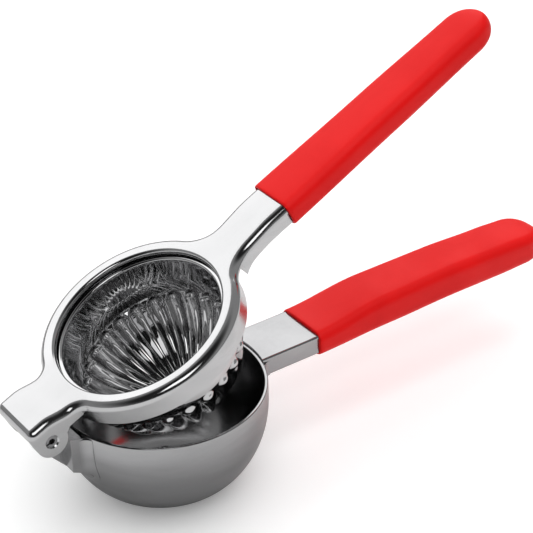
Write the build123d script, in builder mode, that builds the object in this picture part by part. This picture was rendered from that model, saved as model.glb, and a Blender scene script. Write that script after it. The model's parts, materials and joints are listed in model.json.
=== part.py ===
# Citrus press juicer: a hinged hand squeezer, all lengths in millimetres.
#
# The lower arm carries the perforated strainer bowl and stands on the flat of
# that bowl. The upper arm carries the fluted press bowl and swings about one
# pin behind the bowls. The origin is the middle of the flat under the strainer
# bowl, +X runs towards the two handles and +Z runs up the bowl's axis.
import os
from collections import Counter
from math import cos, radians, sin, sqrt

from build123d import *

os.makedirs("parts", exist_ok=True)

# Fits and gaps
running_fit = 0.04          # radial play of the pin in the moving knuckle
seat_gap = 0.05             # between pieces that are pressed or welded together
swing_gap = 0.5             # between the two arms where they pass each other
side_gap = 0.35             # each side of the knuckle, between the two ears
shut_gap = 0.7              # ring above the strainer's rim when the arm is shut

# Strainer bowl
bowl_radius = 37.7
bowl_depth = 40.0
bowl_wall = 1.3
base_radius = 11.0          # flat that the squeezer stands on
rim_height = 6.0            # upright wall below the rim
drain_hole = 3.0
drain_pitch = 4.6
drain_rings = 3

# Hinge
pin_reach = 48.6            # bowl axis to pin
pin_rise = 3.2              # pin above the strainer's rim
pin_radius = 2.1
pin_bore = 1.1              # the pin is a rolled tube with one slit
pin_slit = 0.7
pin_recess = 0.5            # end of the pin below the face of the ear
ear_radius = 5.9
ear_thickness = 4.2
ear_spread = 21.4           # over the outside of both ears
bore_chamfer = 0.5
block_height = 14.0
open_angle = 24.1           # how far the upper arm stands open

# Upper arm
ring_radius = 37.0
opening_radius = 30.9
shell_crown = 9.9           # top of the shell's ring above the ring's underside
shell_wall = 1.2
shell_edge = 2.7            # height of the shell's turned-down edge
shell_round = 1.8
arm_raise = 2.2             # tab and handle lie this much above the ring
raise_run = 9.0             # length over which they rise
handle_slope = 0.031        # the handle climbs slightly along its length
ring_inset = 0.6            # ring band behind the shell's edge
ring_band = 3.4
tab_overhang = 0.4          # tab past the ears, at its end
tab_width = 24.0
tab_corner = 1.6
tab_blend = 6.0
neck_width = 18.7
neck_blend = 13.0
handle_end_width = 15.0
handle_corner = 4.0
upper_length = 152.0        # bowl axis to the end of the steel in the handle
tang_inset = 0.5
tang_height = 4.9
tang_wall = 1.8

# Press bowl
press_wall = 1.2
press_radius = 30.6
press_flange = 0.9
press_upright = 10.0        # straight wall below the flange
press_depth = 39.5          # underside of the flange to the pole
press_base = 6.0
flute_count = 24
flute_depth = 1.3

# Lower handle
bar_width = 21.5
bar_end_width = 17.0
bar_height = 7.4
bar_wall = 2.0
bar_round = 0.8
lower_length = 158.0
bar_rise = 0.8              # top of the bar above the rim
bar_arch = 2.0              # the bar in the grip lies this much above its root
bar_climb = 36.0            # length over which it climbs

# Silicone grips
grip_wall = 1.2
grip_round = 2.8            # rounding of a grip's long edges
palm_swell = 1.7            # more silicone round the far half of the lower grip
tip_length = 9.0            # rounded length at the end of a grip
lower_grip_start = 60.6
upper_grip_start = 62.7
tip_cover = 14.0            # grip past the end of the steel

# Heights and the hinge, worked out from the above
rim_z = bowl_depth
hinge_z = rim_z + pin_rise
hinge_point = Vector(-pin_reach, 0, hinge_z)
ring_under = shut_gap
ring_top = ring_under + shell_crown
neck_knee = ring_radius + 4.0
neck_level = neck_knee + raise_run
tab_end = pin_reach + ear_radius + tab_overhang
block_face = pin_reach - ear_radius - swing_gap
bar_top = rim_z + bar_rise

# The open upper arm has its own X and Z. Its origin is where the bowl axis
# meets the strainer's rim plane when the arm is shut, so every upper piece is
# drawn as it lies on a shut squeezer.
arm_x = Vector(cos(radians(open_angle)), 0, sin(radians(open_angle)))
arm_z = Vector(-sin(radians(open_angle)), 0, cos(radians(open_angle)))
arm_origin = hinge_point + arm_x * pin_reach - arm_z * pin_rise
arm_plan = Plane(origin=arm_origin, x_dir=arm_x, z_dir=arm_z)
arm_side = Plane(origin=arm_origin, x_dir=arm_x, z_dir=Vector(0, -1, 0))
arm_axis = Axis(arm_origin, arm_z)
tall = 60.0                 # extrusions that are cut to shape by a second one


def bowl_section(shrink, top):
    """Half section of the strainer bowl's shape, filled, on the XZ plane."""
    side = bowl_radius - shrink
    foot = shrink
    knee = rim_z - rim_height
    Polyline((0, top), (0, foot), (base_radius, foot))
    EllipticalCenterArc(
        (base_radius, knee), side - base_radius, knee - foot, 270, arc_size=90
    )
    Polyline((side, knee), (side, top), (0, top))


def long_edges(part, up, start_plane):
    """Edges between top or foot and the sides, without those in start_plane."""
    caps = [face for face in part.faces() if abs(face.normal_at().dot(up)) > 0.6]
    times_used = Counter(edge for face in caps for edge in face.edges())
    return [
        edge
        for edge, times in times_used.items()
        if times == 1 and abs(start_plane.to_local_coords(edge.center()).Z) > 0.5
    ]


# ---------------------------------------------------------------- lower arm
with BuildPart() as strainer_bowl:
    with BuildSketch(Plane.XZ):
        with BuildLine():
            bowl_section(0, rim_z)
        make_face()
    revolve(axis=Axis.Z)
    with BuildSketch(Plane.XZ):
        with BuildLine():
            bowl_section(bowl_wall, rim_z)
        make_face()
    revolve(axis=Axis.Z, mode=Mode.SUBTRACT)
    with BuildSketch(Plane.XY):
        for ring in range(1, drain_rings + 1):
            with PolarLocations(ring * drain_pitch, 6 * ring):
                Circle(drain_hole / 2)
    extrude(amount=rim_z / 2, mode=Mode.SUBTRACT)
    fillet(strainer_bowl.faces().sort_by(Axis.Z)[-1].edges(), 0.4)
strainer_bowl.part.label = "strainer_bowl"

block_top = rim_z - shut_gap / 2
block_foot = rim_z - block_height
knuckle_radius = ear_radius - 0.5
knuckle_width = ear_spread - 2 * ear_thickness - 2 * side_gap
with BuildPart() as hinge_block:
    # the wide root between knuckle and bowl
    with BuildSketch(Plane.XZ):
        with BuildLine():
            Polyline(
                (-block_face, block_foot + 1.5),
                (-block_face, block_top + 1.2),
                (-bowl_radius, block_top),
                (-bowl_radius + 9, block_top),
                (-bowl_radius + 9, block_foot - 4),
                (-bowl_radius + 2, block_foot - 4),
                (-block_face + 3, block_foot),
                close=True,
            )
        make_face()
    extrude(amount=ear_spread / 2, both=True)
    # the knuckle that turns between the ears
    with BuildSketch(Plane.XZ):
        with Locations((-pin_reach, hinge_z)):
            Circle(knuckle_radius)
        with BuildLine():
            Polyline(
                (-pin_reach - knuckle_radius * 0.8, hinge_z - knuckle_radius * 0.6),
                (-block_face, block_foot + 1.5),
                (-block_face + 2, block_foot + 1.5),
                (-block_face + 2, block_top),
                (-pin_reach, hinge_z + knuckle_radius),
                close=True,
            )
        make_face()
    extrude(amount=knuckle_width / 2, both=True)
    with BuildSketch(Plane.XZ):
        with BuildLine():
            bowl_section(-seat_gap, rim_z + 20)
        make_face()
    revolve(axis=Axis.Z, mode=Mode.SUBTRACT)
    with BuildSketch(Plane.XZ):
        with Locations((-pin_reach, hinge_z)):
            Circle(pin_radius + running_fit)
    extrude(amount=ear_spread, both=True, mode=Mode.SUBTRACT)
hinge_block.part.label = "hinge_block"


def bar_plan(grow):
    """Plan outline of the lower handle's bar, made bigger by grow all round."""
    root = bar_width / 2 + grow
    end = bar_end_width / 2 + grow
    tip = lower_length + grow
    Polyline(
        (base_radius, root),
        (lower_grip_start, root),
        (tip, end),
        (tip, -end),
        (lower_grip_start, -root),
        (base_radius, -root),
        close=True,
    )


def bar_side(grow, top_cut=0.0):
    """Side outline of the lower handle's bar, with the top let down by top_cut."""
    top = bar_top + grow - top_cut
    foot = bar_top - bar_height - grow
    bend = lower_grip_start - 4
    level = bend + bar_climb
    tip = lower_length + grow
    Polyline((bend, foot), (base_radius, foot), (base_radius, top), (bend, top))
    Spline((bend, top), (level, top + bar_arch), tangents=((1, 0), (1, 0)))
    Polyline(
        (level, top + bar_arch),
        (tip, top + bar_arch),
        (tip, foot + bar_arch),
        (level, foot + bar_arch),
    )
    Spline((level, foot + bar_arch), (bend, foot), tangents=((-1, 0), (-1, 0)))


with BuildPart() as handle_bar:
    with BuildSketch(Plane.XY.offset(rim_z - tall / 2)):
        with BuildLine():
            bar_plan(0)
        make_face()
    extrude(amount=tall)
    with BuildSketch(Plane.XZ):
        with BuildLine():
            bar_side(0)
        make_face()
    extrude(amount=tall, both=True, mode=Mode.INTERSECT)
    root_plane = Plane(origin=(base_radius, 0, rim_z), z_dir=(1, 0, 0))
    fillet(long_edges(handle_bar.part, Vector(0, 0, 1), root_plane), bar_round)
    # folded from sheet, so hollow and open underneath
    with BuildSketch(Plane.XY.offset(rim_z - tall / 2), mode=Mode.PRIVATE) as hollow_plan:
        with BuildLine():
            bar_plan(-bar_wall)
        make_face()
    with BuildSketch(Plane.XZ, mode=Mode.PRIVATE) as hollow_side:
        with BuildLine():
            bar_side(bar_wall, top_cut=2 * bar_wall)
        make_face()
    hollow = extrude(hollow_plan.sketch, amount=tall, mode=Mode.PRIVATE)
    under = extrude(hollow_side.sketch, amount=tall, both=True, mode=Mode.PRIVATE)
    add(hollow & under, mode=Mode.SUBTRACT)
    with BuildSketch(Plane.XZ):
        with BuildLine():
            bowl_section(-seat_gap, rim_z + 20)
        make_face()
    revolve(axis=Axis.Z, mode=Mode.SUBTRACT)
handle_bar.part.label = "handle_bar"


def grip_plan(start, body, root_width, end_width):
    """Plan outline of a grip: tapered, with a round end."""
    Polyline(
        (body, -end_width / 2),
        (start, -root_width / 2),
        (start, root_width / 2),
        (body, end_width / 2),
    )
    EllipticalCenterArc((body, 0), tip_length, end_width / 2, -90, arc_size=180)


def grip_side(start, level, far, root, end):
    """Side outline of a grip: root and end are (foot, top) heights."""
    Spline(
        (start, root[1]),
        (level, end[1]),
        tangents=((1, root[2]), (1, end[2])),
    )
    Polyline(
        (level, end[1]),
        (far, end[1] + end[2] * (far - level)),
        (far, end[0] + end[2] * (far - level)),
        (level, end[0]),
    )
    Spline(
        (level, end[0]),
        (start, root[0]),
        tangents=((-1, -end[2]), (-1, -root[2])),
    )
    Line((start, root[0]), (start, root[1]))


lower_grip_end = lower_length + tip_cover
with BuildPart() as lower_grip:
    with BuildSketch(Plane.XY.offset(rim_z - tall / 2)):
        with BuildLine():
            grip_plan(
                lower_grip_start,
                lower_grip_end - tip_length,
                bar_width + 2 * grip_wall,
                bar_end_width + 2 * grip_wall,
            )
        make_face()
    extrude(amount=tall)
    with BuildSketch(Plane.XZ):
        with BuildLine():
            grip_side(
                lower_grip_start,
                lower_grip_start + bar_climb,
                lower_grip_end + 5,
                (bar_top - bar_height - grip_wall, bar_top + grip_wall, 0.06),
                (
                    bar_top - bar_height + bar_arch - grip_wall - palm_swell,
                    bar_top + bar_arch + grip_wall + palm_swell,
                    0,
                ),
            )
        make_face()
    extrude(amount=tall, both=True, mode=Mode.INTERSECT)
    mouth = Plane(origin=(lower_grip_start, 0, rim_z), z_dir=(1, 0, 0))
    fillet(long_edges(lower_grip.part, Vector(0, 0, 1), mouth), grip_round)
    with BuildSketch(Plane.XY.offset(rim_z - tall / 2), mode=Mode.PRIVATE) as bore_plan:
        with BuildLine():
            bar_plan(seat_gap)
        make_face()
    with BuildSketch(Plane.XZ, mode=Mode.PRIVATE) as bore_side:
        with BuildLine():
            bar_side(seat_gap)
        make_face()
    bore_a = extrude(bore_plan.sketch, amount=tall, mode=Mode.PRIVATE)
    bore_b = extrude(bore_side.sketch, amount=tall, both=True, mode=Mode.PRIVATE)
    add(bore_a & bore_b, mode=Mode.SUBTRACT)
lower_grip.part.label = "lower_grip"

# ---------------------------------------------------------------- upper arm
shell_foot = ring_top - shell_edge
band_outer = ring_radius - ring_inset
band_inner = band_outer - ring_band
flange_foot = shell_foot - 1.0
ear_top = ring_top + arm_raise - shell_edge - seat_gap
ear_middle = (ear_spread - ear_thickness) / 2
with BuildPart() as press_ring:
    with BuildSketch(arm_side):
        with BuildLine():
            Polyline(
                (band_inner, ring_under),
                (band_outer, ring_under),
                (band_outer, shell_foot - seat_gap),
                (ring_radius - shell_wall - seat_gap, shell_foot - seat_gap),
                (ring_radius - shell_wall - seat_gap, ring_top - shell_wall - seat_gap),
                (band_inner, ring_top - shell_wall - seat_gap),
                close=True,
            )
        make_face()
    revolve(axis=arm_axis)
    # two ears reach back and down to the pin
    for side in (-1, 1):
        with BuildSketch(arm_side.offset(side * ear_middle)):
            with Locations((-pin_reach, pin_rise)):
                Circle(ear_radius)
            with BuildLine():
                Polyline(
                    (-pin_reach - ear_radius, pin_rise),
                    (-pin_reach - ear_radius, ear_top),
                    (-ring_radius - raise_run, ear_top),
                    (-ring_radius - 0.4 * raise_run, shell_foot - seat_gap),
                    (-band_inner, shell_foot - seat_gap),
                    (-band_inner, pin_rise + 0.4),
                    (-block_face + 1.5, pin_rise + 0.4),
                    (-pin_reach + ear_radius, pin_rise - 1.0),
                    close=True,
                )
            make_face()
        extrude(amount=ear_thickness / 2, both=True)
    with BuildSketch(arm_plan.offset(-tall / 2)):
        Circle(band_inner)
    extrude(amount=tall, mode=Mode.SUBTRACT)
    with BuildSketch(arm_side):
        with Locations((-pin_reach, pin_rise)):
            Circle(pin_radius)
    extrude(amount=ear_spread, both=True, mode=Mode.SUBTRACT)
    bore_mouths = [
        edge
        for edge in press_ring.edges().filter_by(GeomType.CIRCLE)
        if abs(edge.radius - pin_radius) < 0.01 and abs(edge.center().Y) > ear_middle
    ]
    chamfer(bore_mouths, bore_chamfer)
press_ring.part.label = "press_ring"

flute_angles = [360 * step / (8 * flute_count) for step in range(8 * flute_count)]
press_knee = flange_foot - press_upright
press_pole = flange_foot - press_depth


def press_levels(wall):
    """Radius, height and flute depth of the fluted part, from the top down."""
    levels = []
    for turn, share in ((0, 0), (14, 0.75), (30, 1), (48, 1), (64, 0.8), (76, 0.5), (84, 0.1)):
        reach = press_radius - wall - press_base
        drop = press_knee - press_pole - wall
        radius = press_base + reach * cos(radians(turn))
        height = press_knee - drop * sin(radians(turn))
        levels.append((radius, height, flute_depth * share * radius / press_radius))
    return levels


with BuildPart() as press_bowl:
    # fluted lower part, outside and then inside
    for wall, mode in ((0, Mode.ADD), (press_wall, Mode.SUBTRACT)):
        for radius, height, depth in press_levels(wall):
            with BuildSketch(arm_plan.offset(height)):
                with BuildLine():
                    ripple = [
                        (
                            (radius + depth * cos(radians(flute_count * a))) * cos(radians(a)),
                            (radius + depth * cos(radians(flute_count * a))) * sin(radians(a)),
                        )
                        for a in flute_angles
                    ]
                    Spline(*ripple, periodic=True)
                make_face()
        loft(mode=mode)
    # smooth upper wall and the flange that is held under the shell
    with BuildSketch(arm_side):
        with BuildLine():
            Polyline(
                (press_radius - press_wall, press_knee),
                (press_radius, press_knee),
                (press_radius, flange_foot),
                (band_inner - seat_gap, flange_foot),
                (band_inner - seat_gap, flange_foot + press_flange),
                (press_radius - press_wall, flange_foot + press_flange),
                close=True,
            )
        make_face()
    revolve(axis=arm_axis)
press_bowl.part.label = "press_bowl"


def shell_side(drop, foot):
    """Side outline of the upper shell, its top let down by drop."""
    top = ring_top - drop
    high = ring_top + arm_raise - drop
    tab_knee = -ring_radius
    tab_level = tab_knee - raise_run
    far = upper_length + 20
    far_high = high + handle_slope * (far - neck_level)
    climb = (1, handle_slope)
    back = (-1, -handle_slope)
    Spline((tab_level, high), (tab_knee, top), tangents=((1, 0), (1, 0)))
    Line((tab_knee, top), (neck_knee, top))
    Spline((neck_knee, top), (neck_level, high), tangents=((1, 0), climb))
    Polyline((neck_level, high), (far, far_high), (far, far_high - foot), (neck_level, high - foot))
    Spline((neck_level, high - foot), (neck_knee, top - foot), tangents=(back, (-1, 0)))
    Line((neck_knee, top - foot), (tab_knee, top - foot))
    Spline((tab_knee, top - foot), (tab_level, high - foot), tangents=((-1, 0), (-1, 0)))
    Polyline(
        (tab_level, high - foot),
        (-tab_end - 5, high - foot),
        (-tab_end - 5, high),
        (tab_level, high),
    )


def shell_outline(grow):
    """Draws ring, hinge tab and handle of the upper shell in plan, filled."""
    end = handle_end_width / 2 + grow
    neck = neck_width / 2 + grow
    tab = tab_width / 2 + grow
    back = -tab_end - grow
    tip = upper_length + grow
    Circle(ring_radius + grow)
    Polygon((back, -tab), (0, -tab), (0, tab), (back, tab), align=None)
    Polygon(
        (0, -neck),
        (upper_grip_start, -neck),
        (tip, -end),
        (tip, end),
        (upper_grip_start, neck),
        (0, neck),
        align=None,
    )


def waist_corners(sketch, grow, sign):
    """Corners where the tab (sign -1) or the neck (sign 1) meets the ring."""
    reach = ring_radius + grow
    return [
        corner
        for corner in sketch.vertices()
        if abs(sqrt(corner.X**2 + corner.Y**2) - reach) < 0.01 and corner.X * sign > 0
    ]


with BuildPart() as top_shell:
    with BuildSketch(arm_plan) as outer_plan:
        shell_outline(0)
        fillet(waist_corners(outer_plan, 0, 1), neck_blend)
        fillet(waist_corners(outer_plan, 0, -1), tab_blend)
        fillet(outer_plan.vertices().group_by(Axis.X)[0], tab_corner)
        fillet(outer_plan.vertices().group_by(Axis.X)[-1], handle_corner)
        Circle(opening_radius, mode=Mode.SUBTRACT)
    extrude(amount=tall / 2)
    with BuildSketch(arm_side):
        with BuildLine():
            shell_side(0, shell_edge)
        make_face()
    extrude(amount=tall, both=True, mode=Mode.INTERSECT)
    top_faces = [face for face in top_shell.faces() if face.normal_at().dot(arm_z) > 0.6]
    times_used = Counter(edge for face in top_faces for edge in face.edges())
    fillet([edge for edge, times in times_used.items() if times == 1], shell_round)
    # pressed from sheet, so hollow underneath
    with BuildSketch(arm_plan, mode=Mode.PRIVATE) as inner_plan:
        shell_outline(-shell_wall)
        fillet(waist_corners(inner_plan, -shell_wall, 1), neck_blend + shell_wall)
        fillet(waist_corners(inner_plan, -shell_wall, -1), tab_blend + shell_wall)
        Circle(opening_radius + shell_wall, mode=Mode.SUBTRACT)
    with BuildSketch(arm_side, mode=Mode.PRIVATE) as inner_side:
        with BuildLine():
            shell_side(shell_wall, 2 * shell_edge)
        make_face()
    hollow = extrude(inner_plan.sketch, amount=tall / 2, mode=Mode.PRIVATE)
    under = extrude(inner_side.sketch, amount=tall, both=True, mode=Mode.PRIVATE)
    add(hollow & under, mode=Mode.SUBTRACT)
top_shell.part.label = "top_shell"

tang_root = ring_radius + 2.0
tang_high = ring_top + arm_raise - shell_edge - seat_gap
tang_foot = tang_high - tang_height


def tang_side(drop, lift, grow):
    """Side outline of the tang: top let down by drop, underside up by lift."""
    high = tang_high - drop
    low = tang_foot + lift
    root = tang_root - grow
    tip = upper_length + grow
    climb = handle_slope * (tip - neck_level)
    root_high = high - arm_raise
    root_low = ring_under + bar_rise + swing_gap + lift
    Line((root, root_low), (root, root_high))
    Line((root, root_high), (neck_knee, root_high))
    Spline((neck_knee, root_high), (neck_level, high), tangents=((1, 0), (1, handle_slope)))
    bend = neck_level + 6
    bend_low = low + handle_slope * (bend - neck_level)
    Polyline((neck_level, high), (tip, high + climb), (tip, low + climb), (bend, bend_low))
    Spline((bend, bend_low), (root, root_low), tangents=((-1, -handle_slope), (-1, -0.45)))


with BuildPart() as upper_tang:
    with BuildSketch(arm_plan.offset(-tall / 2)) as tang_plan:
        shell_outline(-tang_inset)
        fillet(waist_corners(tang_plan, -tang_inset, 1), neck_blend + tang_inset)
    extrude(amount=tall)
    with BuildSketch(arm_side):
        with BuildLine():
            tang_side(0, 0, 0)
        make_face()
    extrude(amount=tall, both=True, mode=Mode.INTERSECT)
    # an upright channel that the shell closes
    with BuildSketch(arm_plan.offset(-tall / 2), mode=Mode.PRIVATE) as trough_plan:
        shell_outline(-tang_inset - tang_wall)
        fillet(
            waist_corners(trough_plan, -tang_inset - tang_wall, 1),
            neck_blend + tang_inset + tang_wall,
        )
    with BuildSketch(arm_side, mode=Mode.PRIVATE) as trough_side:
        with BuildLine():
            tang_side(-tang_height, tang_wall, -tang_wall)
        make_face()
    hollow = extrude(trough_plan.sketch, amount=tall, mode=Mode.PRIVATE)
    trough = extrude(trough_side.sketch, amount=tall, both=True, mode=Mode.PRIVATE)
    add(hollow & trough, mode=Mode.SUBTRACT)
upper_tang.part.label = "upper_tang"

upper_grip_end = upper_length + tip_cover
core_top = ring_top + arm_raise + handle_slope * (upper_grip_start - neck_level)
core_foot = core_top - shell_edge - seat_gap - tang_height
with BuildPart() as upper_grip:
    with BuildSketch(arm_plan.offset(-tall / 2)):
        with BuildLine():
            grip_plan(
                upper_grip_start,
                upper_grip_end - tip_length,
                neck_width + 2 * grip_wall,
                handle_end_width + 2 * grip_wall,
            )
        make_face()
    extrude(amount=tall)
    with BuildSketch(arm_side):
        with BuildLine():
            grip_side(
                upper_grip_start,
                upper_grip_start + 20,
                upper_grip_end + 5,
                (core_foot - grip_wall, core_top + grip_wall, handle_slope),
                (
                    core_foot - grip_wall + 20 * handle_slope,
                    core_top + grip_wall + 20 * handle_slope,
                    handle_slope,
                ),
            )
        make_face()
    extrude(amount=tall, both=True, mode=Mode.INTERSECT)
    mouth = Plane(origin=arm_origin + arm_x * upper_grip_start, z_dir=arm_x)
    fillet(long_edges(upper_grip.part, arm_z, mouth), grip_round)
    with BuildSketch(arm_plan.offset(-tall / 2), mode=Mode.PRIVATE) as bore_plan:
        shell_outline(seat_gap)
        Rectangle(2 * tang_root, tall * 2, mode=Mode.SUBTRACT)
    with BuildSketch(arm_side, mode=Mode.PRIVATE) as bore_side:
        reach = upper_length + seat_gap - upper_grip_start
        Polygon(
            (upper_grip_start - 1, core_foot - seat_gap - handle_slope),
            (upper_grip_start + reach, core_foot - seat_gap + handle_slope * reach),
            (upper_grip_start + reach, core_top + seat_gap + handle_slope * reach),
            (upper_grip_start - 1, core_top + seat_gap - handle_slope),
            align=None,
        )
    bore_a = extrude(bore_plan.sketch, amount=tall, mode=Mode.PRIVATE)
    bore_b = extrude(bore_side.sketch, amount=tall, both=True, mode=Mode.PRIVATE)
    add(bore_a & bore_b, mode=Mode.SUBTRACT)
upper_grip.part.label = "upper_grip"

# ---------------------------------------------------------------- hinge pin
with BuildPart() as hinge_pin:
    with BuildSketch(Plane(origin=hinge_point, x_dir=arm_x, z_dir=(0, -1, 0))):
        Circle(pin_radius)
        Circle(pin_bore, mode=Mode.SUBTRACT)
        with Locations((-pin_radius, 0)):
            Rectangle(2 * pin_radius, pin_slit, mode=Mode.SUBTRACT)
    extrude(amount=ear_spread / 2 - pin_recess, both=True)
hinge_pin.part.label = "hinge_pin"

pieces = (
    strainer_bowl,
    hinge_block,
    handle_bar,
    lower_grip,
    press_ring,
    press_bowl,
    top_shell,
    upper_tang,
    upper_grip,
    hinge_pin,
)
for piece in pieces:
    export_step(piece.part, f"parts/{piece.part.label}.step")
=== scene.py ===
import json
import math
import bpy
import bmesh
from mathutils import Matrix, Vector
from mathutils.geometry import delaunay_2d_cdt


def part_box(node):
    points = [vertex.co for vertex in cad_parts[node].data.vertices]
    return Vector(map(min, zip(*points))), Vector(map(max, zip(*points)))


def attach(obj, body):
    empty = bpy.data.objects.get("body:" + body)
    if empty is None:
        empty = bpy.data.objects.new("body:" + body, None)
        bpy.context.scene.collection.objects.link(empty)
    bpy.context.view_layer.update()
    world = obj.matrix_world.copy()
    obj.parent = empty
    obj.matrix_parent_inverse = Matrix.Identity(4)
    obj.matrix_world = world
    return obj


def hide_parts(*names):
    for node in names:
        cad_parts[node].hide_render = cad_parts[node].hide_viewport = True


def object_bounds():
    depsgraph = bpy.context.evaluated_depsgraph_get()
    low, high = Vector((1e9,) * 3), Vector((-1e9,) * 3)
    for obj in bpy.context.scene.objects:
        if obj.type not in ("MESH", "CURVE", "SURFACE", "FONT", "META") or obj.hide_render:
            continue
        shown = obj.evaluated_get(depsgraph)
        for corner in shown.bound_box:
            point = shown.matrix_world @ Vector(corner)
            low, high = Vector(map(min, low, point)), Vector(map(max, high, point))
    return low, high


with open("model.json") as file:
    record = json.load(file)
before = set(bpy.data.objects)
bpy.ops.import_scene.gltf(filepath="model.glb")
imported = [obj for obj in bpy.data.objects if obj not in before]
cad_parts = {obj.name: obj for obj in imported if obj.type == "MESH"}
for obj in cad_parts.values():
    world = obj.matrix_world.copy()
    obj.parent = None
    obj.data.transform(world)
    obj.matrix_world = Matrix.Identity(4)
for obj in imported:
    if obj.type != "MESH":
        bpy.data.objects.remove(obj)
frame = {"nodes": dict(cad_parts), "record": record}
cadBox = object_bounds()
record = frame["record"]
print("frame loaded:", ", ".join(sorted(frame["nodes"])))

mm = 0.001
hinge = Vector(next(j["pos_m"] for j in record["behaviour"]["joints"]))
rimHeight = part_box("strainer_bowl")[1].z
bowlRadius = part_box("strainer_bowl")[1].x

# the upper arm's own frame: its origin is the bowl axis at the rim of a shut squeezer
armSpec = {"openAngle": 24.1}
tilt = math.radians(armSpec["openAngle"])
armAlong = Vector((math.cos(tilt), 0, math.sin(tilt)))
armUp = Vector((-math.sin(tilt), 0, math.cos(tilt)))
armOrigin = hinge - armAlong * hinge.x - armUp * (hinge.z - rimHeight)
armMatrix = Matrix((
    (armAlong.x, 0, armUp.x, armOrigin.x),
    (0, 1, 0, 0),
    (armAlong.z, 0, armUp.z, armOrigin.z),
    (0, 0, 0, 1),
))
bowlMatrix = Matrix.Translation((0, 0, rimHeight))
millimetres = Matrix.Scale(mm, 4)


def localBox(node, matrix):
    # a node's lowest and highest corner in millimetres, in the axes of matrix
    back = matrix.inverted()
    points = [back @ v.co for v in frame["nodes"][node].data.vertices]
    low = Vector([min(p[i] for p in points) for i in range(3)]) / mm
    high = Vector([max(p[i] for p in points) for i in range(3)]) / mm
    return low, high


# ---- material groups

def addSocket(tree, name, kind, way="INPUT"):
    tree.interface.new_socket(name=name, in_out=way, socket_type=kind)


def node(tree, kind, place=(0, 0), **settings):
    made = tree.nodes.new(kind)
    made.location = place
    for key, value in settings.items():
        setattr(made, key, value)
    return made


def mathNode(tree, operation, first, second=None, place=(0, 0), clamp=False):
    made = node(tree, "ShaderNodeMath", place, operation=operation, use_clamp=clamp)
    for socket, value in zip(made.inputs, (first, second)):
        if value is None:
            continue
        if isinstance(value, (int, float)):
            socket.default_value = value
        else:
            tree.links.new(value, socket)
    return made.outputs[0]


groupKeys = {
    # socket of the shared group: key in a finish
    "Grain Scale": "grainScale", "Grain Amount": "grainAmount", "Smudge Scale": "smudgeScale",
    "Rough Low": "roughLow", "Rough High": "roughHigh",
}
surfaceSpec = {"grainDetail": 3, "smudgeDetail": 4, "smudgeWarp": 0.6, "spreadFrom": 0.35, "spreadTo": 0.68}


def surfaceGroup():
    # fine grain and slow smudges, shared by every finish
    tree = bpy.data.node_groups.new("surfaceVary", "ShaderNodeTree")
    addSocket(tree, "Vector", "NodeSocketVector")
    for name in groupKeys:
        addSocket(tree, name, "NodeSocketFloat")
    addSocket(tree, "Tone A", "NodeSocketColor")
    addSocket(tree, "Tone B", "NodeSocketColor")
    addSocket(tree, "Colour", "NodeSocketColor", "OUTPUT")
    addSocket(tree, "Roughness", "NodeSocketFloat", "OUTPUT")
    addSocket(tree, "Height", "NodeSocketFloat", "OUTPUT")
    start = node(tree, "NodeGroupInput", (-900, 0))
    end = node(tree, "NodeGroupOutput", (700, 0))
    link = tree.links.new
    grain = node(tree, "ShaderNodeTexNoise", (-600, 200))
    grain.inputs["Detail"].default_value = surfaceSpec["grainDetail"]
    link(start.outputs["Vector"], grain.inputs["Vector"])
    link(start.outputs["Grain Scale"], grain.inputs["Scale"])
    smudge = node(tree, "ShaderNodeTexNoise", (-600, -100))
    smudge.inputs["Detail"].default_value = surfaceSpec["smudgeDetail"]
    smudge.inputs["Distortion"].default_value = surfaceSpec["smudgeWarp"]
    link(start.outputs["Vector"], smudge.inputs["Vector"])
    link(start.outputs["Smudge Scale"], smudge.inputs["Scale"])
    spread = node(tree, "ShaderNodeMapRange", (-350, -100))
    spread.inputs["From Min"].default_value = surfaceSpec["spreadFrom"]
    spread.inputs["From Max"].default_value = surfaceSpec["spreadTo"]
    link(smudge.outputs["Fac"], spread.inputs["Value"])
    grainPart = mathNode(tree, "MULTIPLY", grain.outputs["Fac"], start.outputs["Grain Amount"], (-350, 200))
    blended = mathNode(tree, "ADD", spread.outputs["Result"], grainPart, (-100, 50), clamp=True)
    rough = node(tree, "ShaderNodeMapRange", (150, -50))
    link(blended, rough.inputs["Value"])
    link(start.outputs["Rough Low"], rough.inputs["To Min"])
    link(start.outputs["Rough High"], rough.inputs["To Max"])
    tone = node(tree, "ShaderNodeMix", (150, 250), data_type="RGBA")
    link(blended, tone.inputs[0])
    link(start.outputs["Tone A"], tone.inputs[6])
    link(start.outputs["Tone B"], tone.inputs[7])
    link(tone.outputs[2], end.inputs["Colour"])
    link(rough.outputs["Result"], end.inputs["Roughness"])
    link(grain.outputs["Fac"], end.inputs["Height"])
    return tree


surfaceVary = surfaceGroup()


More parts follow.
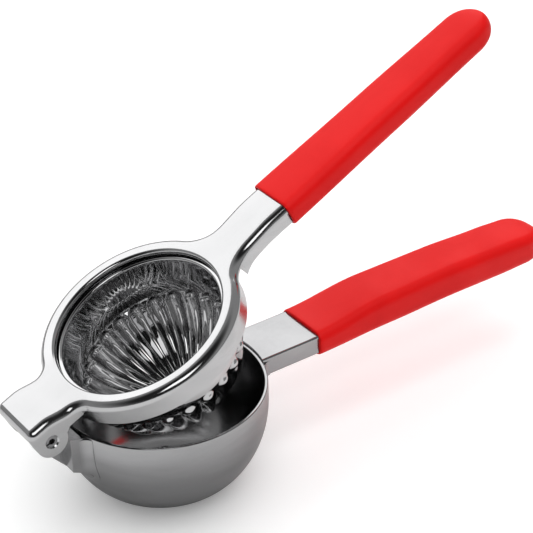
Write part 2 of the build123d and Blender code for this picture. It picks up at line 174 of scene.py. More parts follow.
def finishMaterial(name, spec):
    made = bpy.data.materials.new(name)
    made.use_nodes = True
    tree = made.node_tree
    shader = tree.nodes["Principled BSDF"]
    coords = node(tree, "ShaderNodeTexCoord", (-1000, 0))
    mapping = node(tree, "ShaderNodeMapping", (-800, 0))
    mapping.inputs["Scale"].default_value = spec["stretch"]
    group = node(tree, "ShaderNodeGroup", (-550, 0), node_tree=surfaceVary)
    bump = node(tree, "ShaderNodeBump", (-250, -200))
    tree.links.new(coords.outputs["Object"], mapping.inputs["Vector"])
    tree.links.new(mapping.outputs["Vector"], group.inputs["Vector"])
    for socket, key in groupKeys.items():
        group.inputs[socket].default_value = spec[key]
    group.inputs["Tone A"].default_value = (*spec["toneA"], 1)
    group.inputs["Tone B"].default_value = (*spec["toneB"], 1)
    bump.inputs["Strength"].default_value = spec["bumpStrength"]
    bump.inputs["Distance"].default_value = spec["bumpDistance"]
    tree.links.new(group.outputs["Height"], bump.inputs["Height"])
    tree.links.new(group.outputs["Colour"], shader.inputs["Base Color"])
    tree.links.new(group.outputs["Roughness"], shader.inputs["Roughness"])
    tree.links.new(bump.outputs["Normal"], shader.inputs["Normal"])
    for key, value in spec["shader"].items():
        shader.inputs[key].default_value = value
    return made


finishes = {
    "polishedSteel": {
        "stretch": (1, 1, 1), "grainScale": 700, "grainAmount": 0.25, "smudgeScale": 22,
        "roughLow": 0.08, "roughHigh": 0.16, "toneA": (0.54, 0.54, 0.545), "toneB": (0.48, 0.48, 0.485),
        "bumpStrength": 0.05, "bumpDistance": 0.00004, "shader": {"Metallic": 1.0},
    },
    # bowl steel: its tone is darker than real steel as painted shade, for the shaded floor that the bowl,
    # bar, hinge block and welds reflect; its rougher grain is the real satin finish
    "shadedBowlSteel": {
        "stretch": (1, 1, 5), "grainScale": 500, "grainAmount": 0.35, "smudgeScale": 20,
        "roughLow": 0.13, "roughHigh": 0.22, "toneA": (0.42, 0.42, 0.425), "toneB": (0.35, 0.35, 0.355),
        "bumpStrength": 0.06, "bumpDistance": 0.00004, "shader": {"Metallic": 1.0},
    },
    "mirrorSteel": {
        "stretch": (1, 1, 1), "grainScale": 500, "grainAmount": 0.2, "smudgeScale": 26,
        "roughLow": 0.03, "roughHigh": 0.06, "toneA": (0.58, 0.58, 0.585), "toneB": (0.53, 0.53, 0.535),
        "bumpStrength": 0.02, "bumpDistance": 0.00004, "shader": {"Metallic": 1.0},
    },
    "satinSteel": {
        "stretch": (1, 6, 6), "grainScale": 420, "grainAmount": 0.45, "smudgeScale": 18,
        "roughLow": 0.15, "roughHigh": 0.26, "toneA": (0.58, 0.58, 0.585), "toneB": (0.51, 0.51, 0.515),
        "bumpStrength": 0.12, "bumpDistance": 0.00005, "shader": {"Metallic": 1.0},
    },
    "pinSteel": {
        "stretch": (1, 1, 1), "grainScale": 900, "grainAmount": 0.5, "smudgeScale": 200,
        "roughLow": 0.25, "roughHigh": 0.42, "toneA": (0.38, 0.38, 0.385), "toneB": (0.28, 0.28, 0.285),
        "bumpStrength": 0.2, "bumpDistance": 0.00008, "shader": {"Metallic": 1.0},
    },
    "redSilicone": {
        "stretch": (1, 1, 1), "grainScale": 1500, "grainAmount": 0.4, "smudgeScale": 40,
        "roughLow": 0.42, "roughHigh": 0.52, "toneA": (0.85, 0.004, 0.004), "toneB": (0.78, 0.003, 0.003),
        "bumpStrength": 0.25, "bumpDistance": 0.00005,
        "shader": {"Specular IOR Level": 0.2},
    },
}
materials = {name: finishMaterial(name, spec) for name, spec in finishes.items()}
slotMaterial = {
    "polished_steel": "polishedSteel", "mirror_steel": "mirrorSteel", "satin_steel": "satinSteel",
    "pin_steel": "pinSteel", "red_silicone": "redSilicone",
}
nodeSlot = {part["node"]: part["material_slot"] for part in record["subparts"]}
# nodes given the bowl steel, whose darker tone is painted shade, instead of their slot's usual finish
nodeShadedFinish = {"hinge_block": "shadedBowlSteel", "handle_bar": "shadedBowlSteel"}
for name, cadNode in frame["nodes"].items():
    cadNode.data.materials.clear()
    cadNode.data.materials.append(materials[nodeShadedFinish.get(name, slotMaterial[nodeSlot[name]])])
print("materials ready:", len(materials))


# ---- mesh helpers

def finishedPiece(name, mesh, body, slotName, standsFor=(), sharpAngle=35, finish=None):
    mesh.materials.clear()
    mesh.materials.append(materials[finish or slotMaterial[slotName]])
    for polygon in mesh.polygons:
        polygon.use_smooth = True
    mesh.set_sharp_from_angle(angle=math.radians(sharpAngle))
    piece = bpy.data.objects.new(name, mesh)
    bpy.context.scene.collection.objects.link(piece)
    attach(piece, body)
    if standsFor:
        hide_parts(*standsFor)
    print("made", name, len(mesh.polygons), "faces")


def meshFrom(name, points, faces, matrix=None):
    mesh = bpy.data.meshes.new(name)
    mesh.from_pydata([tuple(p) for p in points], [], faces)
    work = bmesh.new()
    work.from_mesh(mesh)
    bmesh.ops.remove_doubles(work, verts=work.verts, dist=1e-4)
    bmesh.ops.recalc_face_normals(work, faces=work.faces)
    work.to_mesh(mesh)
    work.free()
    if matrix is not None:
        mesh.transform(matrix @ millimetres)
    return mesh


def turned(name, profile, segments):
    # a closed profile of (radius, height) points turned round Z, in millimetres
    points, faces = [], []
    for step in range(segments):
        angle = 2 * math.pi * step / segments
        points += [(r * math.cos(angle), r * math.sin(angle), z) for r, z in profile]
    count = len(profile)
    for step in range(segments):
        here, there = step * count, (step + 1) % segments * count
        for k in range(count - 1):
            faces.append((here + k, there + k, there + k + 1, here + k + 1))
    return meshFrom(name, points, faces)


def loopFaces(start, loops, count, flip=False):
    # quads between loops of count points each, stored one loop after another
    faces = []
    for level in range(loops - 1):
        for k in range(count):
            a, b = start + level * count + k, start + level * count + (k + 1) % count
            faces.append((b, a, a + count, b + count) if flip else (a, b, b + count, a + count))
    return faces


def tubeMesh(name, rings, matrix):
    # a tube through rings of points, closed at both ends
    count = len(rings[0])
    points = [p for ring in rings for p in ring]
    faces = loopFaces(0, len(rings), count)
    faces.append(tuple(range(count)))
    faces.append(tuple(range(len(points) - count, len(points)))[::-1])
    return meshFrom(name, points, faces, matrix)


def evaluatedMesh(holder):
    # the plain mesh of an object with its modifiers applied
    bpy.context.view_layer.update()
    return bpy.data.meshes.new_from_object(holder.evaluated_get(bpy.context.evaluated_depsgraph_get()))


def eased(share):
    # smooth step, held at 0 and 1 outside the range
    share = min(max(share, 0), 1)
    return share * share * (3 - 2 * share)


def straight(first, last, steps):
    # points along a line, without its first
    return [tuple(a + (b - a) * k / steps for a, b in zip(first, last)) for k in range(1, steps + 1)]


def rolled(radius, steps):
    # (inset, drop) pairs of a quarter round, from the side up to the top
    turns = [math.pi / 2 * k / steps for k in range(steps + 1)]
    return [(radius * (1 - math.cos(t)), radius * (1 - math.sin(t))) for t in turns]


def arc(centre, across, down, first, last, steps):
    # points of an ellipse's arc, angles in degrees, anticlockwise from +X
    turns = [math.radians(first + (last - first) * k / steps) for k in range(steps + 1)]
    return [(centre[0] + across * math.cos(t), centre[1] + down * math.sin(t)) for t in turns]


def treeNode(tree, kind, place, inputs=None, **settings):
    # a geometry node with its inputs given by name or number, as values or links
    made = node(tree, kind, place, **settings)
    for key, value in (inputs or {}).items():
        socket = made.inputs[key]
        if isinstance(value, bpy.types.NodeSocket):
            tree.links.new(value, socket)
        else:
            socket.default_value = value
    return made


def baked(name, mesh, tree, values):
    # runs a geometry tree on a mesh and gives back the plain result
    holder = bpy.data.objects.new(name, mesh)
    bpy.context.scene.collection.objects.link(holder)
    modifier = holder.modifiers.new(tree.name, "NODES")
    modifier.node_group = tree
    for item in tree.interface.items_tree:
        if item.item_type == "SOCKET" and item.in_out == "INPUT" and item.name in values:
            modifier[item.identifier] = values[item.name]
    result = evaluatedMesh(holder)
    result.name = name
    holder.modifiers.clear()
    bpy.data.objects.remove(holder)
    return result


# ---- strainer bowl with its drain holes

strainerSpec = {
    "wall": 1.3, "baseRadius": 11.0, "rimHeight": 6.0, "lip": 0.45,
    "holeDiameter": 3.0, "ringPitch": 4.6, "rings": 3, "holeSides": 24, "segments": 192, "sideSteps": 40,
}


def bowlProfile(shrink, spec):
    side = bowlRadius / mm - shrink
    foot = shrink
    knee = rimHeight / mm - spec["rimHeight"]
    return [(0, foot), (spec["baseRadius"] * 0.5, foot)] + arc(
        (spec["baseRadius"], knee), side - spec["baseRadius"], knee - foot, -90, 0, spec["sideSteps"])


def drainTree(spec):
    tree = bpy.data.node_groups.new("drainHoles", "GeometryNodeTree")
    addSocket(tree, "Geometry", "NodeSocketGeometry")
    for name in ("Hole Diameter", "Ring Pitch", "Depth"):
        addSocket(tree, name, "NodeSocketFloat")
    addSocket(tree, "Material", "NodeSocketMaterial")
    addSocket(tree, "Geometry", "NodeSocketGeometry", "OUTPUT")
    start = node(tree, "NodeGroupInput", (-1200, 0))
    end = node(tree, "NodeGroupOutput", (900, 0))
    rings = treeNode(tree, "GeometryNodeJoinGeometry", (-400, 200))
    for ring in range(1, spec["rings"] + 1):
        radius = mathNode(tree, "MULTIPLY", start.outputs["Ring Pitch"], ring, (-900, 150 * ring))
        circle = treeNode(tree, "GeometryNodeMeshCircle", (-650, 150 * ring),
                          {"Vertices": 6 * ring, "Radius": radius})
        tree.links.new(circle.outputs["Mesh"], rings.inputs[0])
    points = treeNode(tree, "GeometryNodeMeshToPoints", (-200, 200), {"Mesh": rings.outputs[0]})
    half = mathNode(tree, "MULTIPLY", start.outputs["Hole Diameter"], 0.5, (-650, -200))
    drill = treeNode(tree, "GeometryNodeMeshCylinder", (-400, -200),
                     {"Vertices": spec["holeSides"], "Radius": half, "Depth": start.outputs["Depth"]})
    drills = treeNode(tree, "GeometryNodeInstanceOnPoints", (0, 100),
                      {"Points": points.outputs[0], "Instance": drill.outputs["Mesh"]})
    real = treeNode(tree, "GeometryNodeRealizeInstances", (200, 100), {0: drills.outputs[0]})
    cut = treeNode(tree, "GeometryNodeMeshBoolean", (400, 0), operation="DIFFERENCE", solver="EXACT")
    tree.links.new(start.outputs["Geometry"], cut.inputs[0])
    tree.links.new(real.outputs[0], cut.inputs[1])
    coat = treeNode(tree, "GeometryNodeSetMaterial", (650, 0),
                    {"Geometry": cut.outputs[0], "Material": start.outputs["Material"]})
    tree.links.new(coat.outputs[0], end.inputs["Geometry"])
    return tree


def makeStrainer(spec):
    top = rimHeight / mm
    outer = bowlProfile(0, spec)
    inner = bowlProfile(spec["wall"], spec)
    side, lip = bowlRadius / mm, spec["lip"]
    wallInner = side - spec["wall"]
    edge = [(side, top - lip)] + arc((side - lip, top - lip), lip, lip, 0, 90, 6)[1:]
    edge += arc((wallInner + lip, top - lip), lip, lip, 90, 180, 6)
    profile = outer + edge + inner[::-1]
    mesh = turned("strainerBowl", profile, spec["segments"])
    mesh.transform(millimetres)
    mesh = baked("strainerBowl", mesh, drainTree(spec), {
        "Hole Diameter": spec["holeDiameter"] * mm, "Ring Pitch": spec["ringPitch"] * mm,
        "Depth": rimHeight, "Material": materials["polishedSteel"],
    })
    # the bowl takes the bowl steel, whose darker tone is painted shade
    finishedPiece("strainerBowl", mesh, "lower_arm", "polished_steel", ["strainer_bowl"], 30, "shadedBowlSteel")


makeStrainer(strainerSpec)

# ---- fluted press bowl

pressSpec = {
    "outerRadius": 30.6, "wall": 1.2, "flangeThick": 0.9, "upright": 10.0, "baseRadius": 6.0, "taper": 1.25,
    "footRound": 0.8, "flangeRound": 0.3, "mouthRound": 0.9,
    "fluteCount": 24, "fluteDepth": 2.6, "ridgeSoft": 0.16, "inset": 1.9,
    "topBelowKnee": 5.6, "endLength": 2.8, "fadeFrom": 6.5, "fadeTo": 19.0,
    "segments": 480, "domeSteps": 72, "wallSteps": 12,
}


def fluteTree():
    tree = bpy.data.node_groups.new("pressFlutes", "GeometryNodeTree")
    addSocket(tree, "Geometry", "NodeSocketGeometry")
    addSocket(tree, "Flute Count", "NodeSocketInt")
    for name in ("Flute Depth", "Ridge Softness", "Inset", "Centre Height", "Flute Top", "End Length",
                 "Fade From", "Fade To"):
        addSocket(tree, name, "NodeSocketFloat")
    addSocket(tree, "Material", "NodeSocketMaterial")
    addSocket(tree, "Geometry", "NodeSocketGeometry", "OUTPUT")
    start = node(tree, "NodeGroupInput", (-1600, 0))
    end = node(tree, "NodeGroupOutput", (1200, 0))
    given = start.outputs
    place = node(tree, "GeometryNodeInputPosition", (-1600, -300))
    split = treeNode(tree, "ShaderNodeSeparateXYZ", (-1400, -300), {0: place.outputs[0]})
    x, y, z = split.outputs
    angle = mathNode(tree, "ARCTAN2", y, x, (-1200, -200))
    halfTurns = mathNode(tree, "MULTIPLY", given["Flute Count"], 0.5, (-1200, 0))
    phase = mathNode(tree, "MULTIPLY", angle, halfTurns, (-1000, -100))
    wave = mathNode(tree, "COSINE", phase, None, (-850, -100))
    squared = mathNode(tree, "MULTIPLY", wave, wave, (-700, -100))
    softSquare = mathNode(tree, "MULTIPLY", given["Ridge Softness"], given["Ridge Softness"], (-850, 100))
    lobeSquare = mathNode(tree, "ADD", squared, softSquare, (-550, -100))
    lobe = mathNode(tree, "SQRT", lobeSquare, None, (-400, -100))
    # each flute starts with a round end below the straight wall
    low = mathNode(tree, "SUBTRACT", given["Flute Top"], given["End Length"], (-1200, -500))
    grow = treeNode(tree, "ShaderNodeMapRange", (-850, -500),
                    {"Value": z, "From Min": given["Flute Top"], "From Max": low})
    away = mathNode(tree, "SUBTRACT", 1.0, grow.outputs["Result"], (-650, -500))
    awaySquare = mathNode(tree, "MULTIPLY", away, away, (-500, -500))
    ended = mathNode(tree, "SUBTRACT", lobe, awaySquare, (-250, -300))
    shape = mathNode(tree, "MAXIMUM", ended, 0.0, (-100, -300))
    # and fades out towards the middle of the dome
    level = treeNode(tree, "ShaderNodeCombineXYZ", (-1200, -850), {0: x, 1: y})
    reach = treeNode(tree, "ShaderNodeVectorMath", (-1000, -850), {0: level.outputs[0]}, operation="LENGTH")
    span = {"Value": reach.outputs["Value"], "From Min": given["Fade From"], "From Max": given["Fade To"]}
    fade = treeNode(tree, "ShaderNodeMapRange", (-650, -850), span, interpolation_type="SMOOTHSTEP")
    sunk = mathNode(tree, "MULTIPLY", given["Inset"], grow.outputs["Result"], (-250, -650))
    pressed = mathNode(tree, "MULTIPLY", shape, given["Flute Depth"], (50, -300))
    net = mathNode(tree, "SUBTRACT", pressed, sunk, (200, -300))
    push = mathNode(tree, "MULTIPLY", net, fade.outputs["Result"], (350, -300))
    centre = treeNode(tree, "ShaderNodeCombineXYZ", (50, -600), {2: given["Centre Height"]})
    outward = treeNode(tree, "ShaderNodeVectorMath", (250, -600),
                       {0: place.outputs[0], 1: centre.outputs[0]}, operation="SUBTRACT")
    unit = treeNode(tree, "ShaderNodeVectorMath", (450, -600), {0: outward.outputs[0]}, operation="NORMALIZE")
    offset = treeNode(tree, "ShaderNodeVectorMath", (600, -400),
                      {0: unit.outputs[0], "Scale": push}, operation="SCALE")
    moved = treeNode(tree, "GeometryNodeSetPosition", (800, 0),
                     {"Geometry": given["Geometry"], "Offset": offset.outputs[0]})
    real = treeNode(tree, "GeometryNodeRealizeInstances", (900, 0), {0: moved.outputs[0]})
    coat = treeNode(tree, "GeometryNodeSetMaterial", (1000, 0),
                    {"Geometry": real.outputs[0], "Material": given["Material"]})
    tree.links.new(coat.outputs[0], end.inputs["Geometry"])
    return tree


def makePress(spec):
    low, high = localBox("press_bowl", armMatrix)
    flange, flangeTop = high.x, high.z
    flangeFoot = flangeTop - spec["flangeThick"]
    knee = flangeFoot - spec["upright"]
    foot, edge, mouth = spec["footRound"], spec["flangeRound"], spec["mouthRound"]
    base, radius = spec["baseRadius"], spec["outerRadius"]
    profiles = []
    for shrink, wallTop in ((0, flangeFoot - foot), (spec["wall"], flangeTop - mouth)):
        side = radius - shrink
        across, down = side - base, knee - low.z - shrink
        turns = [math.pi / 2 * (1 - k / spec["domeSteps"]) for k in range(spec["domeSteps"] + 1)]
        profile = [(0, low.z + shrink), (base * 0.5, low.z + shrink)]
        profile += [(base + across * max(math.cos(t), 0) ** spec["taper"], knee - down * math.sin(t))
                    for t in turns]
        profiles.append(profile + straight((side, knee), (side, wallTop), spec["wallSteps"]))
    outer, inner = profiles
    outer += arc((radius + foot, flangeFoot - foot), foot, foot, 180, 90, 5)[1:]
    outer.append((flange - edge, flangeFoot))
    outer += arc((flange - edge, flangeFoot + edge), edge, edge, -90, 0, 3)[1:]
    outer += arc((flange - edge, flangeTop - edge), edge, edge, 0, 90, 3)
    inner += arc((radius - spec["wall"] + mouth, flangeTop - mouth), mouth, mouth, 180, 90, 5)[1:]
    mesh = turned("pressBowl", outer + inner[::-1], spec["segments"])
    mesh = baked("pressBowl", mesh, fluteTree(), {
        "Flute Count": spec["fluteCount"], "Flute Depth": spec["fluteDepth"],
        "Ridge Softness": spec["ridgeSoft"], "Inset": spec["inset"], "Centre Height": knee,
        "Flute Top": knee - spec["topBelowKnee"], "End Length": spec["endLength"],
        "Fade From": spec["fadeFrom"], "Fade To": spec["fadeTo"], "Material": materials["mirrorSteel"],
    })
    mesh.transform(armMatrix @ millimetres)
    finishedPiece("pressBowl", mesh, "upper_arm", "mirror_steel", ["press_bowl"], 60)


makePress(pressSpec)

# ---- pressed top shell: hinge tab, ring and handle in one sheet

shellSpec = {
    "ringRadius": 37.0, "opening": 30.9, "wall": 1.15, "edge": 2.9, "round": 2.8, "innerRound": 1.2,
    "innerLip": 0.5, "tabHalf": 12.0, "tabCorner": 3.0, "tabBlend": 6.0, "neckHalf": 9.35, "neckBlend": 13.0,
    "endHalf": 7.5, "endCorner": 4.0, "taperFrom": 62.7, "raise": 2.2, "tabRun": 10.5,
    "neckKnee": 37.0, "neckRun": 20.0, "slope": 0.031, "climbFrom": 50.0,
    "grid": 1.6, "openingClear": 0.5, "sideClear": 0.45, "roundSteps": 9, "openingSteps": 240,
}


def shellOutline(spec, start, end):
    # plan of the shell, anticlockwise from the middle of the handle's end
    blend, radius = spec["neckBlend"], spec["ringRadius"]
    neckY = spec["neckHalf"] + blend
    neckX = math.sqrt((radius + blend) ** 2 - neckY ** 2)
    tabY = spec["tabHalf"] + spec["tabBlend"]
    tabX = -math.sqrt((radius + spec["tabBlend"]) ** 2 - tabY ** 2)
    neckTurn = math.degrees(math.atan2(neckY, neckX))
    tabTurn = math.degrees(math.atan2(tabY, tabX))
    corner, tabCorner = spec["endCorner"], spec["tabCorner"]
    taper = (spec["taperFrom"], spec["neckHalf"])
    half = [(end, y) for y in (0.0, 1.2, 2.4)]
    half += arc((end - corner, spec["endHalf"] - corner), corner, corner, 0, 88, 8)
    half += straight((end - corner, spec["endHalf"]), taper, 60)
    half += straight(taper, (neckX, spec["neckHalf"]), 14)[:-1]
    half += arc((neckX, neckY), blend, blend, 270, 180 + neckTurn, 20)
    half += arc((0, 0), radius, radius, neckTurn, tabTurn, 100)[1:]
    half += arc((tabX, tabY), spec["tabBlend"], spec["tabBlend"], tabTurn - 180, -90, 14)[1:]
    half += straight((tabX, spec["tabHalf"]), (start + tabCorner, spec["tabHalf"]), 12)[:-1]
    half += arc((start + tabCorner, spec["tabHalf"] - tabCorner), tabCorner, tabCorner, 90, 180, 8)
    half += straight((start, spec["tabHalf"] - tabCorner), (start, 0), 8)
    return half + [(x, -y) for x, y in half[-2:0:-1]]


def inwardSides(outline):
    # the level direction into the shell at each point of its outline
    sides = []
    for k in range(len(outline)):
        before, after = Vector(outline[k - 1]), Vector(outline[(k + 1) % len(outline)])
        along = (after - before).normalized()
        sides.append(Vector((-along.y, along.x)))
    return sides


def flatTop(spec, outerLoop, innerLoop, inward, start, end):
    # plan points and triangles of the top between its two rolled edges
    count, turns = len(outerLoop), len(innerLoop)
    edgePoints = list(zip(outerLoop, inward))

    def depth(x, y):
        near, side = min(edgePoints, key=lambda e: (e[0][0] - x) ** 2 + (e[0][1] - y) ** 2)
        return (x - near[0]) * side.x + (y - near[1]) * side.y

    flat = [Vector(p[:2]) for p in outerLoop + innerLoop]
    edges = [(k, (k + 1) % count) for k in range(count)]
    edges += [(count + k, count + (k + 1) % turns) for k in range(turns)]
    flatRadius = spec["opening"] + spec["innerRound"]
    pitch, knee = spec["grid"], spec["neckKnee"]
    clearRadius, sideClear = flatRadius + spec["openingClear"] * pitch, spec["sideClear"] * pitch
    x = start
    while x < end:
        ramp = x < -spec["ringRadius"] or knee - 1 < x < knee + spec["neckRun"] + 1
        y = -spec["ringRadius"]
        while y <= spec["ringRadius"]:
            if math.hypot(x, y) > clearRadius and depth(x, y) > sideClear:
                flat.append(Vector((x, y)))
            y += pitch
        x += pitch * (0.5 if ramp else 1.0)
    points, _, triangles = delaunay_2d_cdt(flat, edges, [], 1, 1e-6)[:3]
    kept = []
    for face in triangles:
        centre = sum((points[k] for k in face), Vector((0, 0))) / len(face)
        if centre.length >= flatRadius * math.cos(math.pi / turns) and depth(centre.x, centre.y) > 0:
            kept.append(face)
    return points, kept


def makeShell(spec):
    low, high = localBox("top_shell", armMatrix)
    tabEnd, handleEnd = low.x, high.x
    ringTop = high.z - spec["raise"] - spec["slope"] * (handleEnd - spec["climbFrom"])
    outline = shellOutline(spec, tabEnd, handleEnd)
    inward = inwardSides(outline)
    count = len(outline)

    def topAt(x):
        # height of the top along the shell: level ring, raised tab and climbing handle
        if x < 0:
            return ringTop + spec["raise"] * eased((-x - spec["ringRadius"]) / spec["tabRun"])
        share = (x - spec["neckKnee"]) / spec["neckRun"]
        climb = max(0.0, x - spec["climbFrom"]) * spec["slope"]
        return ringTop + spec["raise"] * eased(share) + climb * min(max(share, 0), 1)

    # the turned-down side and its rolled edge
    points = []
    levels = [(0, spec["edge"]), (0, (spec["edge"] + spec["round"]) / 2)]
    levels += rolled(spec["round"], spec["roundSteps"])
    for inset, drop in levels:
        for (x, y), side in zip(outline, inward):
            px, py = x + side.x * inset, y + side.y * inset
            points.append((px, py, topAt(px) - drop))
    faces = loopFaces(0, len(levels), count)
    outerLoop = points[-count:]
    # the rolled edge of the opening
    turns = spec["openingSteps"]
    inner = [(0, spec["innerRound"] + spec["innerLip"])] + rolled(spec["innerRound"], spec["roundSteps"])
    faces += loopFaces(len(points), len(inner), turns, flip=True)
    for out, drop in inner:
        radius = spec["opening"] + out
        for k in range(turns):
            turn = 2 * math.pi * k / turns
            points.append((radius * math.cos(turn), radius * math.sin(turn), ringTop - drop))
    innerLoop = points[-turns:]
    # the top, then the thickness of the sheet
    flat, triangles = flatTop(spec, outerLoop, innerLoop, inward, tabEnd, handleEnd)
    faces += [tuple(len(points) + k for k in face) for face in triangles]
    points += [(p.x, p.y, topAt(p.x)) for p in flat]
    holder = bpy.data.objects.new("shellSkin", meshFrom("shellSkin", points, faces))
    bpy.context.scene.collection.objects.link(holder)
    thicken = holder.modifiers.new("wall", "SOLIDIFY")
    thicken.thickness = spec["wall"]
    thicken.offset = -1
    thicken.use_even_offset = True
    solid = evaluatedMesh(holder)
    bpy.data.objects.remove(holder)
    solid.name = "topShell"
    solid.transform(armMatrix @ millimetres)
    finishedPiece("topShell", solid, "upper_arm", "polished_steel", ["top_shell"], 50)


makeShell(shellSpec)

# ---- silicone grips

# steps along each corner, flat and side of a section, and the most of its half size that a corner takes
sectionSpec = {"cornerSteps": 8, "flatSteps": 8, "sideSteps": 4, "cornerShare": 0.98}


def roundSection(halfWide, foot, top, corner, crown):
    # a rounded rectangle with slightly full faces, as (across, up) points
    middle, halfHigh = (top + foot) / 2, (top - foot) / 2
    corner = min(corner, halfWide * sectionSpec["cornerShare"], halfHigh * sectionSpec["cornerShare"])
    flat, side = halfWide - corner, halfHigh - corner
    points = []
    for quarter, (x, y) in enumerate(((1, 1), (-1, 1), (-1, -1), (1, -1))):
        points += arc((x * flat, y * side), corner, corner, 90 * quarter, 90 * quarter + 90,
                      sectionSpec["cornerSteps"])
        if x == y:
            run = straight((x * flat, y * halfHigh), (-x * flat, y * halfHigh), sectionSpec["flatSteps"])
        else:
            run = straight((x * halfWide, y * side), (x * halfWide, -y * side), sectionSpec["sideSteps"])
        points += run[:-1]
    full = []
    for across, up in points:
        lift = crown * (1 - (across / halfWide) ** 2) * (up / halfHigh)
        out = crown * (1 - (up / halfHigh) ** 2) * (across / halfWide)
        full.append((across + out, middle + up + lift))
    return full


def between(x, table):
    # a smooth value at x from (x, value...) rows
    if x <= table[0][0]:
        return table[0][1:]
    for first, second in zip(table, table[1:]):
        if x <= second[0]:
            share = eased((x - first[0]) / (second[0] - first[0]))
            return tuple(a + (b - a) * share for a, b in zip(first[1:], second[1:]))
    return table[-1][1:]


gripSpec = {
    # mouth rows: distance from the mouth, inset of its rounded edge
    "mouth": [(0, 0.45), (0.25, 0.13), (0.6, 0)], "bodyFrom": 2.0, "bodySteps": 48,
    "tip": 11.0, "tipWide": 0.85, "tipTall": 0.55, "tipSteps": 16, "crown": 0.25,
    "coreSteps": 24, "coreCorner": 0.4,
}


def gripOutside(spec, start, end):
    # rings of the sleeve's outside, from its rounded mouth to its rounded tip
    tip, crown, corner = gripSpec["tip"], gripSpec["crown"], spec["corner"]
    tipStart, bodyStart = end - tip, start + gripSpec["bodyFrom"]
    steps = gripSpec["bodySteps"]
    stations = [(start + along, inset) for along, inset in gripSpec["mouth"]]
    stations += [(bodyStart + (tipStart - bodyStart) * k / steps, 0) for k in range(steps + 1)]
    rings = []
    for x, inset in stations:
        foot, top, halfWide = between(x - start, spec["rows"])
        climb = spec["slope"] * (x - start)
        section = roundSection(halfWide - inset, foot + climb + inset, top + climb - inset, corner, crown)
        rings.append([(x, across, up) for across, up in section])
    foot, top, halfWide = between(tipStart - start, spec["rows"])
    middle = (top + foot) / 2
    for k in range(1, gripSpec["tipSteps"] + 1):
        turn = math.pi / 2 * k / gripSpec["tipSteps"]
        x = tipStart + tip * math.sin(turn)
        left = max(math.cos(turn), 1e-3)
        wide, tall = left ** gripSpec["tipWide"], left ** gripSpec["tipTall"]
        climb = spec["slope"] * (x - start)
        section = roundSection(halfWide * wide, middle - (middle - foot) * tall + climb,
                               middle + (top - middle) * tall + climb, corner, crown * wide)
        rings.append([(x, across, up) for across, up in section])
    return rings


def makeGrip(name, spec, matrix, cadNode, body, coreAt):
    low, high = localBox(cadNode, matrix)
    start, end = low.x, high.x
    coreEnd = coreAt(end)[3]
    inside = []
    for k in range(gripSpec["coreSteps"] + 1):
        x = start + (coreEnd - start) * k / gripSpec["coreSteps"]
        foot, top, halfWide = coreAt(x)[:3]
        section = roundSection(halfWide, foot, top, gripSpec["coreCorner"], 0)
        inside.append([(x, across, up) for across, up in section])
    mesh = tubeMesh(name, inside[::-1] + gripOutside(spec, start, end), matrix)
    finishedPiece(name, mesh, body, "red_silicone", [cadNode], 50)


lowerGripSpec = {
    "corner": 3.4, "slope": 0.0,
    # rows: distance from the mouth, foot, top, half width
    "rows": [(0, -7.8, 2.0, 11.9), (32, -7.3, 5.4, 11.3), (64, -7.1, 5.8, 10.7),
             (88, -7.6, 5.2, 10.3), (103, -7.4, 4.6, 10.1)],
}
upperGripSpec = {
    "corner": 3.2, "slope": 0.031,
    "rows": [(0, 4.0, 14.0, 10.5), (50, 3.9, 14.1, 9.7), (95, 4.0, 14.0, 8.9)],
}
coreSpec = {
    "gap": 0.1, "barHigh": 7.4, "barArch": 2.0, "barClimb": 36.0, "barBend": 4.0, "barEndHalf": 8.5,
    "tangFoot": 1.2, "tangTop": 8.85,
}


def lowerCore(x):
    # foot, top, half width and end of the hollow round the bar
    high = localBox("handle_bar", bowlMatrix)[1]
    gripStart = localBox("lower_grip", bowlMatrix)[0].x
    gap = coreSpec["gap"]
    lift = coreSpec["barArch"] * eased((x - gripStart + coreSpec["barBend"]) / coreSpec["barClimb"])
    top = high.z - coreSpec["barArch"] + lift
    wide = high.y + (coreSpec["barEndHalf"] - high.y) * (x - gripStart) / (high.x - gripStart)
    return top - coreSpec["barHigh"] - gap, top + gap, wide + gap, high.x + gap


def upperCore(x):
    # the same for the hollow round the shell and the tang
    grip = localBox("upper_grip", armMatrix)[0]
    steelEnd = localBox("upper_tang", armMatrix)[1].x
    gap = coreSpec["gap"]
    climb = upperGripSpec["slope"] * (x - grip.x)
    neck, end = shellSpec["neckHalf"], shellSpec["endHalf"]
    wide = neck + (end - neck) * (x - grip.x) / (steelEnd - grip.x)
    foot, top = grip.z + coreSpec["tangFoot"] + climb, grip.z + coreSpec["tangTop"] + climb
    return foot - gap, top + gap, wide + gap, steelEnd + gap


makeGrip("lowerGrip", lowerGripSpec, bowlMatrix, "lower_grip", "lower_arm", lowerCore)
makeGrip("upperGrip", upperGripSpec, armMatrix, "upper_grip", "upper_arm", upperCore)

# ---- weld fillets where the bar and the hinge block meet the bowl

weldSpec = {
    "size": 2.8, "sink": 0.3, "corner": 1.2, "steps": 7,
    "sideSteps": 10, "cornerSteps": 5, "footSteps": 12,
}
# side of the bowl it lies on, its top below the rim, its height, the way it runs along the underside
barWeldSpec = {"sign": 1, "belowRim": 0.7, "high": 6.6, "under": (1, 0, 0)}
blockWeldSpec = {"sign": -1, "belowRim": 0.9, "high": 16.8, "under": (-0.66, 0, 0.75)}


def bowlSurface(across, z, sign):
    # a point on the outside of the bowl at that height, and its outward direction
    knee = rimHeight / mm - strainerSpec["rimHeight"]
    base = strainerSpec["baseRadius"]
    side = bowlRadius / mm
    drop = max(0.0, (knee - z) / knee)
    radius = base + (side - base) * math.sqrt(1 - drop * drop)
    place = Vector((sign * math.sqrt(radius * radius - across * across), across, z))
    level = Vector((place.x, place.y, 0)).normalized()
    slope = drop / max(math.sqrt(1 - drop * drop), 0.01) * (side - base) / knee
    return place, (level - Vector((0, 0, slope))).normalized()


